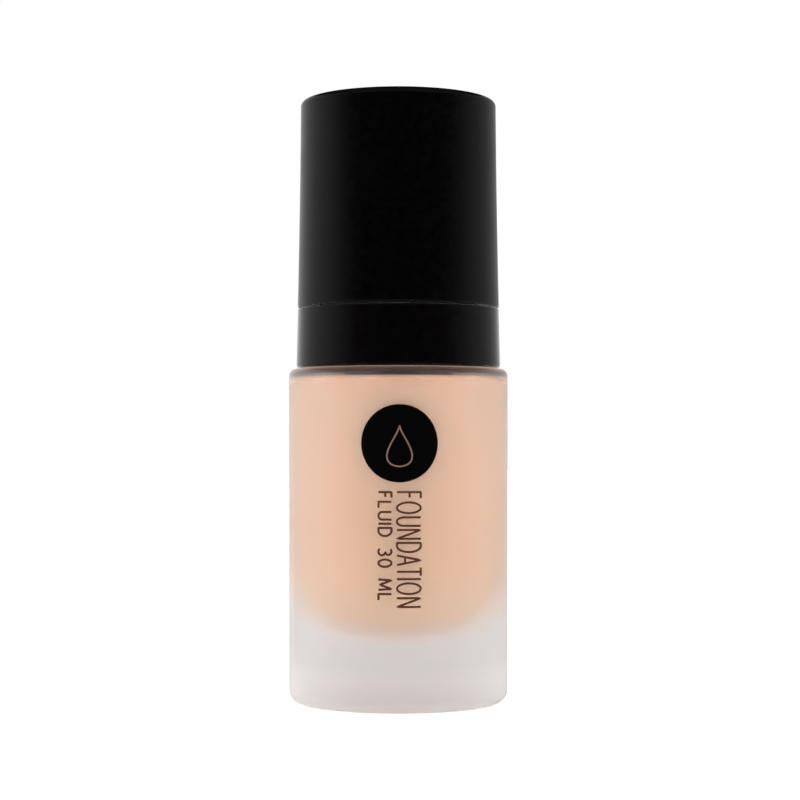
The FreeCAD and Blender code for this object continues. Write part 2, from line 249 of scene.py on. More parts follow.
def helix(turn: np.ndarray, radius: float, height: np.ndarray) -> tuple[np.ndarray, np.ndarray]:
    """Winds a path round Z: (r cos a, r sin a, height), a being a full circle for each turn.

    Args:
        turn: (n,) turns from the start.
        radius: r.
        height: (n,) the height at each.

    Returns:
        (n, 3) directions straight out from the axis and the (n, 3) path.
    """
    angle = turn * 2 * math.pi
    out = np.stack([np.cos(angle), np.sin(angle), np.zeros_like(angle)], axis=-1)
    path = out * radius
    path[:, 2] = height
    return out, path


def revolved(outline: Outline, around: int = 192) -> Surface:
    """Turns a half section about Z: x = r cos a, y = r sin a, z = h for a grid of outline point and angle.

    Points on the axis become one pole each, so the surface is closed there by triangles.

    Args:
        outline: the half section. It is a loop, or runs from the axis back to the axis.
        around: steps of the angle.

    Returns:
        The closed surface of revolution, its faces outwards.
    """
    radius, height = outline.points[:, 0], outline.points[:, 1]
    on_axis = radius < 1e-6
    level = circle(around)[None] * radius[:, None, None]
    ring = np.concatenate([level, np.broadcast_to(height[:, None, None], (*level.shape[:2], 1))], axis=-1)
    number = np.arange(len(radius) * around).reshape(len(radius), around)
    number[on_axis] = number[on_axis][:, :1]
    nearer, farther = number, np.roll(number, -1, axis=0)
    quads = np.stack([nearer, np.roll(nearer, -1, axis=1), np.roll(farther, -1, axis=1), farther], axis=-1)
    axis_here, axis_next = on_axis, np.roll(on_axis, -1)
    plain = quads[~axis_here & ~axis_next].reshape(-1, 4)
    opening = quads[axis_here & ~axis_next].reshape(-1, 4)[:, [0, 2, 3]]
    closing = quads[~axis_here & axis_next].reshape(-1, 4)[:, [0, 1, 2]]
    used, renumbered = np.unique(
        np.concatenate([plain.ravel(), opening.ravel(), closing.ravel()]),
        return_inverse=True,
    )
    cuts = np.cumsum([plain.size, opening.size])
    pieces = np.split(renumbered, cuts)
    faces = [p.reshape(-1, k) for p, k in zip(pieces, (4, 3, 3)) if p.size]
    points = ring.reshape(-1, 3)[used]
    rim = np.repeat(outline.rim, around)[used]
    return Surface(points, faces, rim).outward()


def dome_rows(radius: float, apex: float, edge: float, count: int = 9) -> np.ndarray:
    """Rows of a dome's outline from the axis outwards: height runs from apex to edge with the radius squared.

    Args:
        radius: the dome's radius.
        apex: its height on the axis.
        edge: its height at the radius.
        count: rows, the last one left out for the corner that follows.

    Returns:
        (count - 1, 3) corner rows with no rounding.
    """
    out = np.linspace(0, 1, count)[:-1]
    return np.column_stack([out * radius, apex + (edge - apex) * out**2, np.zeros(count - 1)])


def swept(path: np.ndarray, across: np.ndarray, up: np.ndarray, section: np.ndarray) -> Surface:
    """Carries a closed section along an open path and caps its ends.

    A point is path + across * u + up * v for each (u, v) of the section.

    Args:
        path: (n, 3) points of the path.
        across: (n, 3) the section's first direction at each.
        up: (n, 3) its second direction at each.
        section: (n, m, 2) or (m, 2) the section's points.

    Returns:
        The closed tube.
    """
    section = np.broadcast_to(section, (len(path), *section.shape[-2:]))
    grid = (
        path[:, None, :]
        + across[:, None, :] * section[..., :1]
        + up[:, None, :] * section[..., 1:]
    )
    number = np.arange(len(path) * grid.shape[1]).reshape(len(path), -1)
    turned = np.roll(number, -1, axis=1)
    walls = np.stack([number[:-1], turned[:-1], turned[1:], number[1:]], axis=-1).reshape(-1, 4)
    caps = np.stack([number[0][::-1], number[-1]])
    return Surface(grid.reshape(-1, 3), [walls, caps], np.zeros(number.size)).outward()


def wrapped(points: np.ndarray, radius: float) -> np.ndarray:
    """Wraps a flat drawing on the glass: x becomes the angle x / radius from the front, y the height.

    Args:
        points: (..., 3) across, up and stand-off from the radius.
        radius: the cylinder's radius.

    Returns:
        (..., 3) places in the frame, the front facing -Y.
    """
    angle = points[..., 0] / radius
    reach = radius + points[..., 2]
    return np.stack([reach * np.sin(angle), -reach * np.cos(angle), points[..., 1]], axis=-1)


# ---------------------------------------------------------------- finishes


class Graph:
    """A material's node tree, with short calls to grow it."""

    def __init__(self, name: str) -> None:
        """Makes the material and finds its shader.

        Args:
            name: the material's name.
        """
        self.material = bpy.data.materials.new(name)
        self.material.use_nodes = True
        self.tree = self.material.node_tree
        self.shader = self.tree.nodes["Principled BSDF"]
        self.place = self.node("ShaderNodeTexCoord").outputs["Object"]

    def node(self, kind: str, **settings: object) -> bpy.types.Node:
        """Adds a node and sets its properties.

        Args:
            kind: the node's type.
            **settings: property names and values.
        """
        made = self.tree.nodes.new(kind)
        for key, value in settings.items():
            setattr(made, key, value)
        return made

    def connect(self, socket: bpy.types.NodeSocket, value: object) -> None:
        """Links a socket to another, or sets it to a plain value."""
        if isinstance(value, bpy.types.NodeSocket):
            self.tree.links.new(value, socket)
        else:
            socket.default_value = value

    def feed(self, node: bpy.types.Node, **values: object) -> bpy.types.Node:
        """Sets or links a node's inputs, an underscore standing for a space in each name.

        Args:
            node: the node to feed.
            **values: sockets to link, or plain values.
        """
        for key, value in values.items():
            self.connect(node.inputs[key.replace("_", " ")], value)
        return node

    def set(self, **values: object) -> None:
        """Sets or links the shader's own inputs."""
        self.feed(self.shader, **values)

    def noise(self, size: float, detail: float = 2.0, stretch: Place = (1, 1, 1)) -> bpy.types.NodeSocket:
        """Returns noise from 0 to 1 whose features are about size millimetres across.

        Args:
            size: feature size in millimetres.
            detail: octaves.
            stretch: how many times finer it is along each axis.
        """
        mapping = self.feed(self.node("ShaderNodeMapping"), Vector=self.place, Scale=stretch)
        texture = self.node("ShaderNodeTexNoise")
        self.feed(texture, Vector=mapping.outputs["Vector"], Scale=1 / (size * MM), Detail=detail)
        return texture.outputs["Fac"]

    def spread(self, value: bpy.types.NodeSocket, low: float, high: float) -> bpy.types.NodeSocket:
        """Maps a texture's middle range, 0.3 to 0.7, to low and high.

        Args:
            value: the texture's value.
            low: what 0.3 becomes.
            high: what 0.7 becomes.
        """
        node = self.node("ShaderNodeMapRange")
        self.feed(node, Value=value, From_Min=0.3, From_Max=0.7, To_Min=low, To_Max=high)
        return node.outputs["Result"]

    def ramp(self, factor: bpy.types.NodeSocket, stops: dict[float, Colour | float]) -> bpy.types.NodeSocket:
        """Returns a colour that runs through the stops as the factor grows.

        Args:
            factor: from 0 to 1.
            stops: the colour or grey level at each factor, blended evenly between them.
        """
        node = self.feed(self.node("ShaderNodeValToRGB"), Fac=factor)
        marks = node.color_ramp.elements
        low, *inner, high = sorted(stops)
        for mark, place in ((marks[0], low), (marks[1], high)):
            mark.position = place
            mark.color = (*np.resize(stops[place], 3), 1)
        for place in inner:
            marks.new(place).color = (*np.resize(stops[place], 3), 1)
        return node.outputs["Color"]

    def tint(self, factor: bpy.types.NodeSocket, first: Colour, second: Colour) -> bpy.types.NodeSocket:
        """Returns a colour that runs from first to second with the factor."""
        return self.ramp(factor, {0.0: first, 1.0: second})

    def by_height(self, stops: dict[float, Colour | float]) -> bpy.types.NodeSocket:
        """Returns a colour that changes with the height over the bottle's foot.

        Args:
            stops: the colour or level at each height in millimetres, blended evenly between them.
        """
        low, high = min(stops), max(stops)
        parts = self.feed(self.node("ShaderNodeSeparateXYZ"), Vector=self.place)
        span = self.node("ShaderNodeMapRange")
        self.feed(span, Value=parts.outputs["Z"], From_Min=low * MM, From_Max=high * MM)
        return self.ramp(span.outputs["Result"], {(h - low) / (high - low): c for h, c in stops.items()})

    def times(self, first: bpy.types.NodeSocket, second: bpy.types.NodeSocket) -> bpy.types.NodeSocket:
        """Returns the product of two colours."""
        node = self.node("ShaderNodeMix", data_type="RGBA", blend_type="MULTIPLY")
        for socket, value in ((0, 1.0), (6, first), (7, second)):
            self.connect(node.inputs[socket], value)
        return node.outputs[2]

    def maths(self, operation: str, *values: object) -> bpy.types.NodeSocket:
        """Returns what a Math node makes of one or two values.

        Args:
            operation: the node's operation.
            *values: sockets or numbers to work on.
        """
        node = self.node("ShaderNodeMath", operation=operation)
        for socket, value in zip(node.inputs, values):
            self.connect(socket, value)
        return node.outputs["Value"]

    def rim(self, gain: float) -> bpy.types.NodeSocket:
        """Returns the piece's own rim attribute times a gain."""
        attribute = self.node("ShaderNodeAttribute", attribute_name="rim")
        return self.maths("MULTIPLY", attribute.outputs["Fac"], gain)

    def bump(self, height: bpy.types.NodeSocket, depth: float, strength: float = 1.0) -> None:
        """Gives the shader a bump of the given depth in millimetres.

        Args:
            height: the texture that raises and lowers the surface.
            depth: the height of its full range.
            strength: how much of it shows.
        """
        node = self.node("ShaderNodeBump")
        self.feed(node, Height=height, Distance=depth * MM, Strength=strength)
        self.set(Normal=node.outputs["Normal"])


@dataclass(frozen=True)
class FrostedGlass:
    """Acid-etched glass: a milky rough skin with an even fine grain on a body that greys as it thickens.

    The etch is deepest round the foot and thins out at the shoulder, where the glass is clearer. A dark brown
    band of painted shade round the rounded shoulder stands for the dark under the collar.
    """

    foot: Colour = (1.0, 0.995, 1.0)
    base: Colour = (0.86, 0.85, 0.87)
    side: Colour = (0.955, 0.960, 0.962)
    lip: Colour = (0.98, 0.95, 0.93)
    # shade is painted shade: the dark brown of the rounded shoulder under the collar
    shade: Colour = (0.30, 0.18, 0.13)
    roughness: float = 0.58
    shoulder_roughness: float = 0.20
    foot_roughness: float = 0.75
    roughness_spread: float = 0.015
    foot_top: float = 5.0
    base_low: float = 7.5
    base_high: float = 10.0
    side_low: float = 16.0
    shoulder_foot: float = 54.4
    shoulder_flat: float = 56.0
    ior: float = 1.5
    grain: float = 0.12
    body: Colour = (0.40, 0.365, 0.355)
    density: float = 16.5

    def material(self) -> bpy.types.Material:
        """Returns the finish as a material."""
        graph = Graph("frosted_glass")
        # Tint by height: near white at the foot, greyer across the base, pale up the side, warmer at the lip,
        # painted shade round the rounded shoulder, pale again on the flat.
        tints = {
            self.foot_top: self.foot,
            self.base_low: self.base,
            self.base_high: self.base,
            self.side_low: self.side,
            self.shoulder_foot - 4.0: self.side,
            self.shoulder_foot: self.lip,
            self.shoulder_foot + 0.25: self.shade,
            self.shoulder_flat - 0.15: self.shade,
            self.shoulder_flat: self.side,
        }
        etches = {
            self.foot_top + 1.0: self.foot_roughness,
            self.side_low - 2.0: self.roughness,
            self.shoulder_foot - 1.5: self.roughness,
            self.shoulder_foot - 0.5: self.shoulder_roughness,
        }
        cloud = graph.spread(graph.noise(9.0), -self.roughness_spread, self.roughness_spread)
        graph.set(
            Base_Color=graph.by_height(tints),
            Roughness=graph.maths("ADD", graph.by_height(etches), cloud),
            IOR=self.ior,
            Transmission_Weight=0.9,
            Coat_Weight=1.0,
            Coat_Roughness=0.5,
            Coat_IOR=2.0,
            Sheen_Weight=0.25,
            Sheen_Roughness=0.4,
        )
        graph.bump(graph.noise(self.grain, 3.0), 0.004, 0.25)
        body = graph.node("ShaderNodeVolumeAbsorption")
        graph.feed(body, Color=(*self.body, 1), Density=self.density)
        graph.tree.links.new(body.outputs["Volume"], graph.tree.nodes["Material Output"].inputs["Volume"])
        return graph.material


@dataclass(frozen=True)
class Liquid:
    """Pigmented liquid foundation with the faint streaks of a settled emulsion, paler at its foot and top as
    painted light, lifting the shade on its rounded foot and under the collar.
    """

    # foot and top are painted light: paler colours lifting the shade on the rounded foot and under the collar
    foot: Colour = (0.88, 0.560, 0.330)
    middle: Colour = (0.86, 0.500, 0.275)
    top: Colour = (0.96, 0.54, 0.29)
    foot_height: float = 12.0
    middle_low: float = 22.0
    middle_high: float = 49.5
    top_height: float = 53.5
    streak: Colour = (0.955, 0.945, 0.93)
    roughness: float = 0.35

    def material(self) -> bpy.types.Material:
        """Returns the finish as a material."""
        graph = Graph("foundation_liquid")
        streaks = graph.tint(graph.noise(7.0, 3.0, (1, 1, 0.35)), self.streak, (1, 1, 1))
        stops = {
            self.foot_height: self.foot,
            self.middle_low: self.middle,
            self.middle_high: self.middle,
            self.top_height: self.top,
        }
        graph.set(
            Base_Color=graph.times(graph.by_height(stops), streaks),
            Roughness=graph.spread(graph.noise(3.0), self.roughness - 0.05, self.roughness + 0.05),
            IOR=1.36,
        )
        graph.bump(graph.noise(4.0), 0.01, 0.3)
        return graph.material


@dataclass(frozen=True)
class SatinBlack:
    """Black moulding with a satin texture, a little brighter and smoother along its rounded edges.

    A sheen makes it paler where it turns away.
    """

    name: str
    base: Colour = (0.0006, 0.0003, 0.0003)
    worn: Colour = (0.0035, 0.0030, 0.0030)
    roughness: float = 0.25
    gloss: float = 0.18
    grain: float = 0.16
    sheen: float = 0.0
    sheen_roughness: float = 0.22

    def material(self) -> bpy.types.Material:
        """Returns the finish as a material."""
        graph = Graph(self.name)
        cloud = graph.spread(graph.noise(6.0, 3.0), -0.03, 0.03)
        polish = graph.maths("ADD", cloud, graph.rim(-0.06))
        edge = graph.maths("ADD", graph.rim(0.7), graph.spread(graph.noise(1.1, 4.0), 0.0, 0.25))
        graph.set(
            Base_Color=graph.tint(edge, self.base, self.worn),
            Roughness=graph.maths("ADD", polish, self.roughness),
            Specular_IOR_Level=self.gloss,
            Sheen_Weight=self.sheen,
            Sheen_Roughness=self.sheen_roughness,
        )
        graph.bump(graph.noise(self.grain, 2.0), 0.003, 0.35)
        return graph.material


@dataclass(frozen=True)
class MouldedBlack:
    """Matt black moulding with a spark-eroded grain."""

    base: Colour = (0.012, 0.012, 0.012)
    light: Colour = (0.022, 0.022, 0.021)

    def material(self) -> bpy.types.Material:
        """Returns the finish as a material."""
        graph = Graph("moulded_black")
        grain = graph.noise(0.22, 4.0)
        graph.set(
            Base_Color=graph.tint(grain, self.base, self.light),
            Roughness=graph.spread(graph.noise(2.5), 0.52, 0.62),
            Specular_IOR_Level=0.4,
        )
        graph.bump(grain, 0.02, 0.5)
        return graph.material


@dataclass(frozen=True)
class NaturalPlastic:
    """Milky uncoloured plastic with faint rings from the mould's turning."""

    name: str
    light: Colour = (0.83, 0.83, 0.80)
    shade: Colour = (0.74, 0.74, 0.71)
    rings: float = 0.35
    stretch: Place = (1, 1, 1)

    def material(self) -> bpy.types.Material:
        """Returns the finish as a material."""
        graph = Graph(self.name)
        wave = graph.node("ShaderNodeTexWave", wave_type="BANDS", bands_direction="Z")
        graph.feed(wave, Vector=graph.place, Scale=1 / (self.rings * MM) / 20, Distortion=0.6, Detail=1.0)
        flow = graph.noise(2.4, 3.0, self.stretch)
        graph.set(
            Base_Color=graph.tint(flow, self.shade, self.light),
            Roughness=graph.spread(graph.noise(0.8, 2.0), 0.32, 0.46),
            Subsurface_Weight=0.25,
            Subsurface_Radius=(1.0, 0.95, 0.9),
            Subsurface_Scale=0.0008,
        )
        graph.bump(wave.outputs["Fac"], 0.004, 0.4)
        return graph.material


@dataclass(frozen=True)
class Foam:
    """Closed-cell foam with fine cells."""

    cell: float = 0.35

    def material(self) -> bpy.types.Material:
        """Returns the finish as a material."""
        graph = Graph("gasket_foam")
        cells = graph.node("ShaderNodeTexVoronoi", feature="F1")
        graph.feed(cells, Vector=graph.place, Scale=1 / (self.cell * MM))
        graph.set(
            Base_Color=graph.tint(cells.outputs["Distance"], (0.62, 0.62, 0.60), (0.84, 0.84, 0.82)),
            Roughness=0.85,
        )
        graph.bump(cells.outputs["Distance"], 0.08, 0.8)
        return graph.material


@dataclass(frozen=True)
class Steel:
    """Stainless steel, drawn or polished."""

    name: str
    light: Colour = (0.66, 0.655, 0.64)
    dark: Colour = (0.48, 0.475, 0.465)
    roughness: float = 0.22
    line: float = 0.05

    def material(self) -> bpy.types.Material:
        """Returns the finish as a material."""
        graph = Graph(self.name)
        lines = graph.noise(self.line, 2.0, (1, 1, 6))
        graph.set(
            Base_Color=graph.tint(graph.noise(0.9, 3.0), self.dark, self.light),
            Metallic=1.0,
            Roughness=graph.spread(lines, self.roughness - 0.06, self.roughness + 0.08),
        )
        graph.bump(lines, 0.002, 0.5)
        return graph.material


@dataclass(frozen=True)
class PrintInk:
    """Screen ink on glass, its colour and gloss a little uneven as the mesh leaves it."""

    name: str
    thick: Colour
    thin: Colour
    roughness: float = 0.5

    def material(self) -> bpy.types.Material:
        """Returns the finish as a material."""
        graph = Graph(self.name)
        patch = graph.noise(0.5, 4.0)
        graph.set(
            Base_Color=graph.tint(patch, self.thick, self.thin),
            Roughness=graph.spread(graph.noise(1.4), self.roughness - 0.06, self.roughness + 0.06),
            Specular_IOR_Level=0.15,
        )
        graph.bump(graph.noise(0.09, 2.0), 0.002, 0.4)
        return graph.material


# ---------------------------------------------------------------- pieces


def settle(piece: bpy.types.Object, body: Body, slot: Slot, *nodes: str, weighted: bool = True) -> None:
    """Makes a finished piece part of the frame.

    Args:
        piece: the object, in place.
        body: the CAD body it rides on.
        slot: the record's material slot; not used.
        *nodes: the CAD nodes it stands for.
        weighted: whether large faces lead the shading, which keeps flats flat beside rounded edges.
    """
    if weighted:
        modifier = piece.modifiers.new("flat_shading", "WEIGHTED_NORMAL")
        modifier.weight = FACE_WEIGHT
        modifier.keep_sharp = False
    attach(piece, body.value)
    if nodes:
        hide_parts(*nodes)
    LOG.info("%s: %d faces on %s", piece.name, len(piece.data.polygons), body.value)


@dataclass
class GlassBottle:
    """The frosted bottle, from its push-up to the mouth of its threaded neck."""

    radius: float = 18.47
    shoulder: float = 56.0
    base_rounding: float = 2.0
    shoulder_rounding: float = 1.2
    push_up_radius: float = 12.5
    push_up_rise: float = 0.9
    wall: float = 2.47
    floor: float = 11.3
    ceiling: float = 54.5
    cavity_rounding: float = 13.0
    neck_radius: float = 8.85
    neck_bore: float = 6.0
    neck_top: float = 65.6
    pitch: float = 3.175
    thread_start: float = 59.2
    thread_turns: float = 1.1
    thread_depth: float = 1.1
    thread_sink: float = 0.3
    thread_foot: float = 1.1
    thread_crest: float = 0.3
    thread_bevel: float = 0.15
    thread_run_out: float = 0.06
    finish: FrostedGlass = FrostedGlass()

    def body(self) -> Surface:
        """Returns the turned body, inside and out."""
        cavity = self.radius - self.wall
        rows = [
            (self.push_up_radius, 0.0, 6.0),
            (self.radius, 0.0, self.base_rounding),
            (self.radius, self.shoulder, self.shoulder_rounding),
            (self.neck_radius, self.shoulder, 0.8),
            (self.neck_radius, self.neck_top, 0.4),
            (self.neck_bore, self.neck_top, 0.5),
            (self.neck_bore, self.ceiling, 1.0),
            (cavity, self.ceiling, 0.4),
            (cavity, self.floor, self.cavity_rounding),
            (0.0, self.floor, 0.0),
        ]
        push_up = dome_rows(self.push_up_radius, self.push_up_rise, 0.0)
        return revolved(rounded_outline(np.vstack([push_up, rows]), steps=17))

    def thread(self) -> Surface:
        """Returns the neck's ridge: a trapezoid on a helix, rising a pitch a turn, run out at both ends."""
        turn = np.linspace(0, self.thread_turns, 160)
        out, path = helix(turn, self.neck_radius - self.thread_sink, self.thread_start + self.pitch * turn)
        up = np.broadcast_to(np.array([0.0, 0.0, 1.0]), path.shape)
        nearest_end = np.minimum(turn, self.thread_turns - turn)
        share = np.clip(nearest_end / self.thread_run_out, 0.02, 1)
        crest = self.thread_sink + self.thread_depth * share * share * (3 - 2 * share)
        flat, bevel = self.thread_crest, self.thread_bevel
        profile = (
            (0.0, -self.thread_foot),
            (crest - bevel, -flat - bevel),
            (crest, -flat),
            (crest, flat),
            (crest - bevel, flat + bevel),
            (0.0, self.thread_foot),
        )
        reach = np.stack([np.broadcast_to(out_to, crest.shape) for out_to, _ in profile], axis=1)
        rise = np.broadcast_to([height for _, height in profile], reach.shape)
        section = np.stack([reach, rise], axis=-1)
        return swept(path, out, up, section)

    def build(self) -> None:
        """Builds the glass in place of its CAD node."""
        surface = self.body().joined(self.thread())
        piece = surface.to_object("frosted_bottle", self.finish.material())
        settle(piece, Body.BOTTLE, Slot.GLASS, "glass_bottle")


@dataclass
class Fill:
    """The liquid. Its skin lies just inside the glass, so no air shows between them."""

    radius: float = 16.03
    floor: float = 11.27
    ceiling: float = 54.53
    rounding: float = 13.03
    barrel_room: float = 5.6
    socket_room: float = 3.2
    tube_room: float = 1.9
    step_high: float = 48.0
    step_low: float = 47.0
    socket_foot: float = 39.0
    finish: Liquid = Liquid()

    def build(self) -> None:
        """Builds the liquid with its bores for the pump and dip tube."""
        rows = [
            (self.tube_room, self.floor, 0.0),
            (self.radius, self.floor, self.rounding),
            (self.radius, self.ceiling, 0.4),
            (self.barrel_room, self.ceiling, 0.2),
            (self.barrel_room, self.step_high, 0.0),
            (self.socket_room, self.step_low, 0.0),
            (self.socket_room, self.socket_foot, 0.0),
            (self.tube_room, self.socket_foot, 0.0),
        ]
        surface = revolved(rounded_outline(np.array(rows), steps=21))
        piece = surface.to_object("liquid_fill", self.finish.material())
        settle(piece, Body.BOTTLE, Slot.LIQUID, "foundation_fill")


@dataclass
class ReturnSpring:
    """The pump's return spring, its foot on the barrel's floor."""

    coil: float = 2.9
    wire: float = 0.24
    low: float = 50.27
    high: float = 57.73
    turns: float = 6.0
    steps: int = 432
    wire_sides: int = 16
    foot: float = 50.0
    finish: Steel = Steel("spring_wire")

    def build(self) -> None:
        """Builds the spring: a circle carried along x = c cos a, y = c sin a, z rising evenly with a."""
        turn = np.linspace(0, self.turns, self.steps)
        out, path = helix(turn, self.coil, np.linspace(self.low, self.high, self.steps))
        tilt = math.atan((self.high - self.low) / (self.turns * 2 * math.pi * self.coil))
        lean = math.sin(tilt)
        up = np.column_stack([out[:, 1] * lean, -out[:, 0] * lean, np.full(self.steps, math.cos(tilt))])
        section = self.wire * circle(self.wire_sides)
        piece = swept(path, out, up, section).to_object("coil_spring", self.finish.material())
        settle(piece, Body.PUMP, Slot.SPRING, "return_spring", weighted=False)
        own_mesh(piece)


@dataclass(frozen=True)
class Flare:
    """The overcap's flared outline: a parabola through a radius at each of three heights."""

    heights: Place = (101.3, 83.3, 66.15)
    radii: Place = (16.45, 16.66, 17.0)

    def radius(self, height: np.ndarray) -> np.ndarray:
        """Returns the outline's radius at each height."""
        return np.polyval(np.polyfit(self.heights, self.radii, 2), height)


@dataclass
class Overcap:
    """The black overcap, a flared cup with a slightly crowned roof."""

    top: float = 101.3
    crown: float = 0.15
    bottom: float = 66.4
    rounding: float = 0.9
    wall: float = 1.2
    roof: float = 1.5
    flare: Flare = Flare()
    finish: SatinBlack = SatinBlack("satin_black_cap")

    def build(self) -> None:
        """Builds the overcap: the crowned roof, the wall moved out to the flare, and the plain inside."""
        edge = self.top - self.crown
        outer_top, outer_bottom = self.flare.radius(np.array([edge, self.bottom]))
        ceiling = self.top - self.roof
        rows = [
            (outer_top, edge, self.rounding),
            (outer_bottom, self.bottom, 0.2),
            (outer_bottom - self.wall, self.bottom, 0.15),
            (outer_top - self.wall, ceiling, 0.6),
            (0.0, ceiling, 0.0),
        ]
        roof = dome_rows(outer_top, self.top, edge)
        outline = rounded_outline(np.vstack([roof, rows]), steps=11)
        height = outline.points[:, 1]
        straight = np.interp(height, [self.bottom, edge], [outer_bottom, outer_top])
        on_wall = outline.points[:, 0] > outer_top - 0.2
        outline.points[:, 0] += np.where(on_wall, self.flare.radius(height) - straight, 0)
        piece = revolved(outline).to_object("black_overcap", self.finish.material())
        settle(piece, Body.OVERCAP, Slot.CAP, "overcap_shell")


@dataclass
class Collar:
    """The black collar: its skirt, the ledge the overcap stops over, and the spigot with its snap bead."""

    bottom: float = 56.05
    bottom_radius: float = 17.22
    seam: float = 66.15
    seam_radius: float = 17.0
    wall: float = 1.2
    spigot: float = 13.3
    spigot_top: float = 70.2
    bead: float = 0.12
    bead_rise: float = 2.2
    bead_reach: float = 0.5
    mouth: float = 7.7
    deck: float = 68.9
    sleeve: float = 12.0
    sleeve_rise: float = 1.6
    foot_rounding: float = 0.75
    painted_shade_foot: float = 1.0
    finish: SatinBlack = SatinBlack("satin_black_collar", sheen=1.0)

    def build(self) -> None:
        """Builds the collar as one turned piece. Its foot is left without the lighter rounded-edge colour,
        painted shade for the dark line where it meets the glass shoulder.
        """
        ledge = self.seam - self.wall
        bead = self.seam + self.bead_rise
        sleeve_foot = self.bottom + self.sleeve_rise
        rows = [
            (self.bottom_radius - self.wall, self.bottom, 0.2),
            (self.bottom_radius, self.bottom, self.foot_rounding),
            (self.seam_radius, self.seam, 0.2),
            (self.spigot, self.seam, 0.15),
            (self.spigot, bead - self.bead_reach, 0.3),
            (self.spigot + self.bead, bead, 0.3),
            (self.spigot, bead + self.bead_reach, 0.3),
            (self.spigot, self.spigot_top, 0.5),
            (self.mouth, self.spigot_top, 0.3),
            (self.mouth, self.deck, 0.1),
            (self.sleeve, self.deck, 0.1),
            (self.sleeve, sleeve_foot, 0.2),
            (self.spigot, sleeve_foot, 0.2),
            (self.spigot, ledge, 0.4),
            (self.seam_radius - self.wall, ledge, 0.4),
        ]
        outline = rounded_outline(np.array(rows))
        # Painted shade: the rim is cleared round the foot, so the foot stays darker, standing for the shadow
        # line above the glass shoulder.
        outline.rim[outline.points[:, 1] < self.bottom + self.painted_shade_foot] = 0.0
        piece = revolved(outline).to_object("black_collar", self.finish.material())
        settle(piece, Body.CLOSURE, Slot.CAP, "collar_shell")


class Glyphs:
    """A plain stroke alphabet. A letter is one unit high, and its strokes are lines and parts of ellipses."""

    @staticmethod
    def line(*corners: tuple[float, float]) -> np.ndarray:
        """Returns an open path through corners, divided so that it can bend round the glass."""
        place = np.array(corners, float)
        share = np.linspace(0, len(place) - 1, 10 * (len(place) - 1) + 1)
        steps = np.arange(len(place))
        return np.column_stack([np.interp(share, steps, place[:, 0]), np.interp(share, steps, place[:, 1])])

    @staticmethod
    def arc(centre: tuple[float, float], size: tuple[float, float], start: float, end: float) -> np.ndarray:
        """Returns part of an ellipse: centre + size * (cos a, sin a), a from start to end in degrees."""
        angle = np.radians(np.linspace(start, end, 29))
        return np.column_stack([centre[0] + size[0] * np.cos(angle), centre[1] + size[1] * np.sin(angle)])

    @classmethod
    def letter(cls, mark: str) -> tuple[float, list[np.ndarray]]:
        """Returns a letter's width and strokes.

        Args:
            mark: the letter, figure or space.
        """
        line, arc = cls.line, cls.arc
        shapes: dict[str, tuple[float, list[np.ndarray]]] = {
            " ": (0.30, []),
            "F": (0.38, [line((0, 0), (0, 1), (0.38, 1)), line((0, 0.53), (0.32, 0.53))]),
            "O": (0.66, [arc((0.33, 0.5), (0.33, 0.5), 90, 451)]),
            "U": (
                0.52,
                [
                    line((0, 1), (0, 0.28)),
                    arc((0.26, 0.28), (0.26, 0.28), 180, 360),
                    line((0.52, 0.28), (0.52, 1)),
                ],
            ),
            "N": (0.54, [line((0, 0), (0, 1), (0.54, 0), (0.54, 1))]),
            "D": (
                0.56,
                [line((0.2, 0), (0, 0), (0, 1), (0.2, 1)), arc((0.2, 0.5), (0.36, 0.5), -90, 90)],
            ),
            "A": (0.50, [line((-0.04, 0), (0.25, 1), (0.54, 0)), line((0.06, 0.34), (0.44, 0.34))]),
            "T": (0.40, [line((-0.06, 1), (0.46, 1)), line((0.2, 0), (0.2, 1))]),
            "I": (0.0, [line((0, 0), (0, 1))]),
            "L": (0.42, [line((0, 1), (0, 0), (0.42, 0))]),
            "M": (0.72, [line((0, 0), (0.06, 1), (0.36, 0.1), (0.66, 1), (0.72, 0))]),
            "0": (0.5, [arc((0.25, 0.5), (0.25, 0.5), 90, 451)]),
            "3": (
                0.46,
                [arc((0.2, 0.76), (0.22, 0.24), 140, -90), arc((0.2, 0.26), (0.26, 0.26), 90, -140)],
            ),
        }
        return shapes[mark]


@dataclass(frozen=True)
class Column:
    """A column of words that reads downwards, the letters' tops towards +X.

    Attributes:
        text: the words.
        foot: where the letters' feet stand across the front.
        height: the letters' height.
        length: the column's length, which sets the gaps.
        stroke: the lines' width.
        squeeze: how wide the letters are beside the plain alphabet's.
    """

    text: str
    foot: float
    height: float
    length: float
    stroke: float
    squeeze: float


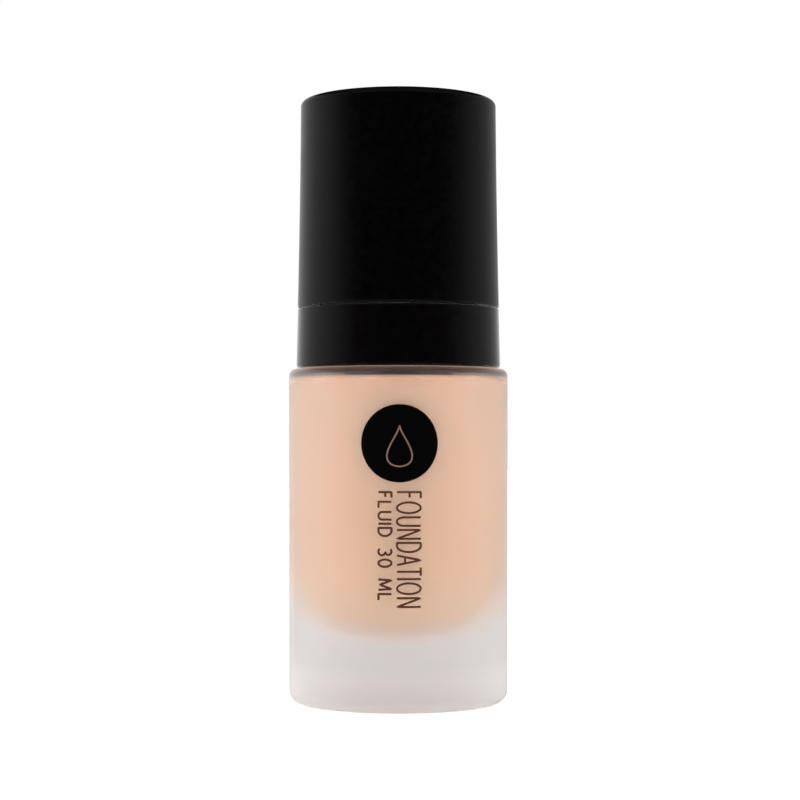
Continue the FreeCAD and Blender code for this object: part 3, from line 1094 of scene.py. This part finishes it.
@dataclass
class Print:
    """What is printed on the glass: a round badge with a drop in outline, and two columns of plain words.

    A layer of ink is given as the heights of its underside and its face over the glass.
    """

    glass: float = 18.47
    badge_radius: float = 6.27
    badge_x: float = 0.2
    badge_z: float = 43.5
    badge_layer: tuple[float, float] = (-0.02, 0.018)
    badge_rings: int = 24
    badge_around: int = 120
    drop_half_width: float = 3.125
    drop_half_height: float = 3.3
    drop_sink: float = 0.4
    drop_stroke: float = 0.26
    drop_layer: tuple[float, float] = (-0.01, 0.026)
    words_top: float = 35.68
    words_layer: tuple[float, float] = (-0.02, 0.025)
    large: Column = Column("FOUNDATION", foot=-0.22, height=3.84, length=18.4, stroke=0.34, squeeze=0.68)
    small: Column = Column("FLUID 30 ML", foot=-3.2, height=2.1, length=17.3, stroke=0.36, squeeze=1.1)
    black: PrintInk = PrintInk("badge_ink", (0.0006, 0.0006, 0.0008), (0.0014, 0.0012, 0.0012))
    brown: PrintInk = PrintInk("lettering_ink", (0.050, 0.017, 0.009), (0.075, 0.027, 0.015))
    outline: PrintInk = PrintInk("motif_ink", (0.10, 0.055, 0.045), (0.17, 0.10, 0.085))

    def disc(self) -> Surface:
        """Returns the badge: a flat turned disc, wrapped on the glass as a thin closed shell."""
        out = np.linspace(0, self.badge_radius, self.badge_rings + 1)
        rows = np.column_stack([np.append(out, out[::-1]), np.repeat(self.badge_layer, len(out))])
        flat = revolved(Outline(rows, np.zeros(len(rows))), self.badge_around)
        placed = flat.points + np.array([self.badge_x, self.badge_z, 0.0])
        return Surface(wrapped(placed, self.glass), flat.faces, flat.rim).outward()

    def ribbon(self, path: np.ndarray, width: float, layer: tuple[float, float]) -> Surface:
        """Returns a line of ink: a thin flat section carried along a path and wrapped on the glass.

        Args:
            path: (n, 2) across and up.
            width: the line's width.
            layer: the heights of its underside and its face.
        """
        low, high = layer
        along = np.gradient(path, axis=0)
        along /= np.maximum(np.linalg.norm(along, axis=1), 1e-9)[:, None]
        side = np.column_stack([-along[:, 1], along[:, 0], np.zeros(len(path))])
        rise = np.broadcast_to(np.array([0.0, 0.0, 1.0]), side.shape)
        flat = np.column_stack([path, np.zeros(len(path))])
        half = width / 2
        section = np.array([(-half, low), (half, low), (half, high), (-half, high)])
        tube = swept(flat, side, rise, section)
        return Surface(wrapped(tube.points, self.glass), tube.faces, tube.rim).outward()

    def drop(self) -> Surface:
        """Returns the badge's motif: a drop whose width is sin a times (1 - cos a) / 2, drawn as a line."""
        angle = np.radians(np.linspace(8, 352, 90))
        across = self.badge_x + self.drop_half_width * np.sin(angle) * (1 - np.cos(angle)) / 2
        up = self.badge_z - self.drop_sink + self.drop_half_height * np.cos(angle)
        path = np.column_stack([across, up])
        return self.ribbon(np.vstack([path, path[:2]]), self.drop_stroke, self.drop_layer)

    def words(self, column: Column) -> Surface:
        """Returns a column's letters as one surface.

        Args:
            column: what it says and how.
        """
        letters = [Glyphs.letter(mark) for mark in column.text]
        wide = column.height * column.squeeze
        gap = (column.length - wide * sum(width for width, _ in letters)) / (len(letters) - 1)
        lines = []
        top = self.words_top
        for width, strokes in letters:
            for path in strokes:
                placed = np.column_stack([column.foot + path[:, 1] * column.height, top - path[:, 0] * wide])
                lines.append(self.ribbon(placed, column.stroke, self.words_layer))
            top -= width * wide + gap
        return reduce(Surface.joined, lines)

    def build(self) -> None:
        """Builds the badge, its motif and both columns."""
        pieces = (
            ("badge_disc", self.disc(), self.black),
            ("badge_drop", self.drop(), self.outline),
            ("large_lettering", self.words(self.large), self.brown),
            ("small_lettering", self.words(self.small), self.brown),
        )
        for name, surface, ink in pieces:
            settle(surface.to_object(name, ink.material()), Body.BOTTLE, Slot.GLASS, weighted=False)


@dataclass
class PumpDress:
    """The finishes of the pieces that keep their CAD solids."""

    nodes: dict[str, bpy.types.Object]
    natural: NaturalPlastic = NaturalPlastic("natural_plastic")
    tube: NaturalPlastic = NaturalPlastic(
        "tube_plastic", light=(0.86, 0.87, 0.86), shade=(0.78, 0.79, 0.78), rings=1.5, stretch=(1, 1, 0.1)
    )
    button: SatinBlack = SatinBlack("satin_black_button")
    closure: MouldedBlack = MouldedBlack()
    foam: Foam = Foam()
    ball: Steel = Steel("ball_steel", roughness=0.12, line=0.3)

    def build(self) -> None:
        """Gives each node its finish."""
        worn_by = {
            self.natural: (
                "pump_housing",
                "housing_cap",
                "pump_stem",
                "stem_valve",
                "piston",
                "overcap_liner",
                "nozzle_tip",
            ),
            self.tube: ("dip_tube",),
            self.button: ("actuator_shell", "actuator_core"),
            self.closure: ("closure_ring",),
            self.foam: ("neck_gasket",),
            self.ball: ("check_ball",),
        }
        for finish, names in worn_by.items():
            material = finish.material()
            for name in names:
                slots = self.nodes[name].data.materials
                slots.clear()
                slots.append(material)
                LOG.info("%s: dressed in %s", name, material.name)


# ---------------------------------------------------------------- studio


@dataclass(frozen=True)
class LampPair:
    """Two soft square lamps, one on each side.

    Attributes:
        name: what the pair is called.
        place: where the right one stands, in metres.
        size: their side in metres.
        power: the power of each in watts.
    """

    name: str
    place: Place
    size: float
    power: float


@dataclass
class Studio:
    """A white studio in metres: an even sky, a pale floor, and a tent that only reflections see.

    The tent is dark in front, above and below, and a black disc hangs overhead.
    """

    distance: float = 0.3386
    eye: float = 0.0436
    lens: float = 90.0
    sensor: float = 36.0
    shift_x: float = 0.0021
    shift_y: float = 0.0533
    sky: float = 1.0
    left_glow: float = 0.84
    right_glow: float = 0.53
    tent_turn: float = 2.0
    tent_reach: float = 1.2
    tent_rows: int = 31
    tent_around: int = 64
    canopy_reach: float = 0.6
    canopy_height: float = 0.45
    floor_reach: float = 3.0
    floor_colour: Colour = (0.97, 0.97, 0.97)
    floor_glow: float = 0.3
    lamps: tuple[LampPair, ...] = (
        LampPair("front_lamp", (0.7, -0.9, 0.3), 0.7, 4.0),
        LampPair("side_lamp", (1.1, -0.1, 0.2), 0.6, 5.0),
    )
    lamp_aim: Place = (0.0, 0.0, 0.03)

    def camera(self) -> None:
        """Sets a level camera in front of the bottle."""
        data = bpy.data.cameras.new("studio_camera")
        data.lens = self.lens
        data.sensor_width = self.sensor
        data.shift_x = self.shift_x
        data.shift_y = self.shift_y
        data.clip_start = 0.01
        data.clip_end = 50
        camera = bpy.data.objects.new("studio_camera", data)
        camera.location = (0, -self.distance, self.eye)
        camera.rotation_euler = (math.radians(90), 0, 0)
        bpy.context.scene.collection.objects.link(camera)
        bpy.context.scene.camera = camera

    def world(self) -> None:
        """Makes the even white sky."""
        world = bpy.data.worlds.new("light_tent")
        world.use_nodes = True
        back = world.node_tree.nodes["Background"]
        back.inputs["Color"].default_value = (1, 1, 1, 1)
        back.inputs["Strength"].default_value = self.sky
        bpy.context.scene.world = world
        bpy.context.scene.view_settings.view_transform = "Standard"

    def hang(self, name: str, sheet: Surface, cloth: Graph, *unseen_by: str, turn: float = 0.0) -> None:
        """Puts up a sheet of the studio.

        Args:
            name: the sheet's name.
            sheet: its shape in metres.
            cloth: its finish.
            *unseen_by: the kinds of ray that pass through it.
            turn: how far it is turned about Z, in degrees.
        """
        piece = sheet.to_object(name, cloth.material, unit=1.0)
        piece.rotation_euler = (0, 0, math.radians(turn))
        for kind in unseen_by:
            setattr(piece, f"visible_{kind}", False)

    def floor(self) -> None:
        """Lays the pale floor, a sheet of opal plastic lit a little from below."""
        corners = self.floor_reach * np.array([(-1, -1, 0), (1, -1, 0), (1, 1, 0), (-1, 1, 0)])
        opal = Graph("opal_floor")
        opal.set(Base_Color=(*self.floor_colour, 1), Roughness=0.9, Specular_IOR_Level=0.1)
        opal.set(Emission_Color=(1, 1, 1, 1), Emission_Strength=self.floor_glow)
        self.hang("floor", Surface(corners, [np.array([[0, 1, 2, 3]])], np.zeros(4)), opal, "glossy")

    def canopy(self) -> None:
        """Hangs a black disc overhead, which keeps the top light out of the glass and its reflections."""
        count = 64
        points = np.column_stack([self.canopy_reach * circle(count), np.full(count, self.canopy_height)])
        black = Graph("canopy_black")
        black.set(Base_Color=(0, 0, 0, 1), Roughness=1.0, Specular_IOR_Level=0.0)
        disc = Surface(points, [np.arange(count)[None]], np.zeros(count))
        self.hang("canopy", disc, black, "camera", "diffuse", "shadow")

    def tent_cloth(self) -> Graph:
        """Returns the tent's finish, whose glow falls with t = |z| - y and from the left to the right."""
        cloth = Graph("tent_cloth")
        parts = cloth.feed(cloth.node("ShaderNodeSeparateXYZ"), Vector=cloth.place)
        height = cloth.maths("ABSOLUTE", parts.outputs["Z"])
        front = cloth.maths("SUBTRACT", height, parts.outputs["Y"])
        span = cloth.node("ShaderNodeMapRange")
        cloth.feed(span, Value=front, From_Min=-self.tent_reach, From_Max=self.tent_reach)
        levels = {0.10: 1.0, 0.20: 0.88, 0.55: 0.85, 0.64: 0.73, 0.75: 0.40, 0.83: 0.18, 0.90: 0.0}
        glow = cloth.ramp(span.outputs["Result"], levels)
        halves = cloth.node("ShaderNodeMapRange", interpolation_type="SMOOTHSTEP")
        cloth.feed(
            halves,
            Value=parts.outputs["X"],
            From_Min=-self.tent_reach / 2,
            From_Max=self.tent_reach / 2,
            To_Min=self.left_glow,
            To_Max=self.right_glow,
        )
        cloth.set(Base_Color=(0, 0, 0, 1), Specular_IOR_Level=0.0)
        cloth.set(Emission_Color=glow, Emission_Strength=halves.outputs["Result"])
        return cloth

    def tent(self) -> None:
        """Hangs the tent, a sphere with a small flat lid at each pole."""
        rise = np.linspace(-math.pi / 2, math.pi / 2, self.tent_rows + 2)[1:-1]
        reach = np.pad(np.cos(rise), 1)
        height = np.pad(np.sin(rise), 1, mode="edge")
        rows = self.tent_reach * np.column_stack([reach, height])
        sphere = revolved(Outline(rows, np.zeros(len(rows))), self.tent_around)
        unseen_by = ("camera", "diffuse", "transmission", "shadow")
        self.hang("reflection_tent", sphere, self.tent_cloth(), *unseen_by, turn=self.tent_turn)

    def lamp(self, name: str, place: Place, size: float, power: float) -> None:
        """Adds a soft square lamp that faces the bottle.

        Args:
            name: the lamp's name.
            place: where it stands.
            size: its side.
            power: its power in watts.
        """
        data = bpy.data.lights.new(name, "AREA")
        data.shape = "SQUARE"
        data.size = size
        data.energy = power
        lamp = bpy.data.objects.new(name, data)
        lamp.location = place
        direction = np.array(self.lamp_aim) - np.array(place)
        yaw = math.atan2(direction[1], direction[0])
        pitch = math.atan2(math.hypot(direction[0], direction[1]), -direction[2])
        lamp.rotation_euler = (pitch, 0, yaw - math.pi / 2)
        lamp.visible_glossy = False
        bpy.context.scene.collection.objects.link(lamp)

    def build(self) -> None:
        """Sets up the whole studio."""
        self.camera()
        self.world()
        self.floor()
        self.tent()
        self.canopy()
        for side, hand in ((-1, "left"), (1, "right")):
            for pair in self.lamps:
                across, along, up = pair.place
                self.lamp(f"{hand}_{pair.name}", (side * across, along, up), pair.size, pair.power)


def main() -> None:
    """Builds the bottle round its frame, piece by piece, and the studio."""
    logging.basicConfig(level=logging.INFO, format="%(name)s: %(message)s")
    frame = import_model()
    GlassBottle().build()
    Fill().build()
    Collar().build()
    Overcap().build()
    Print().build()
    ReturnSpring().build()
    PumpDress(frame["nodes"]).build()
    Studio().build()


if __name__ == "__main__":
    main()
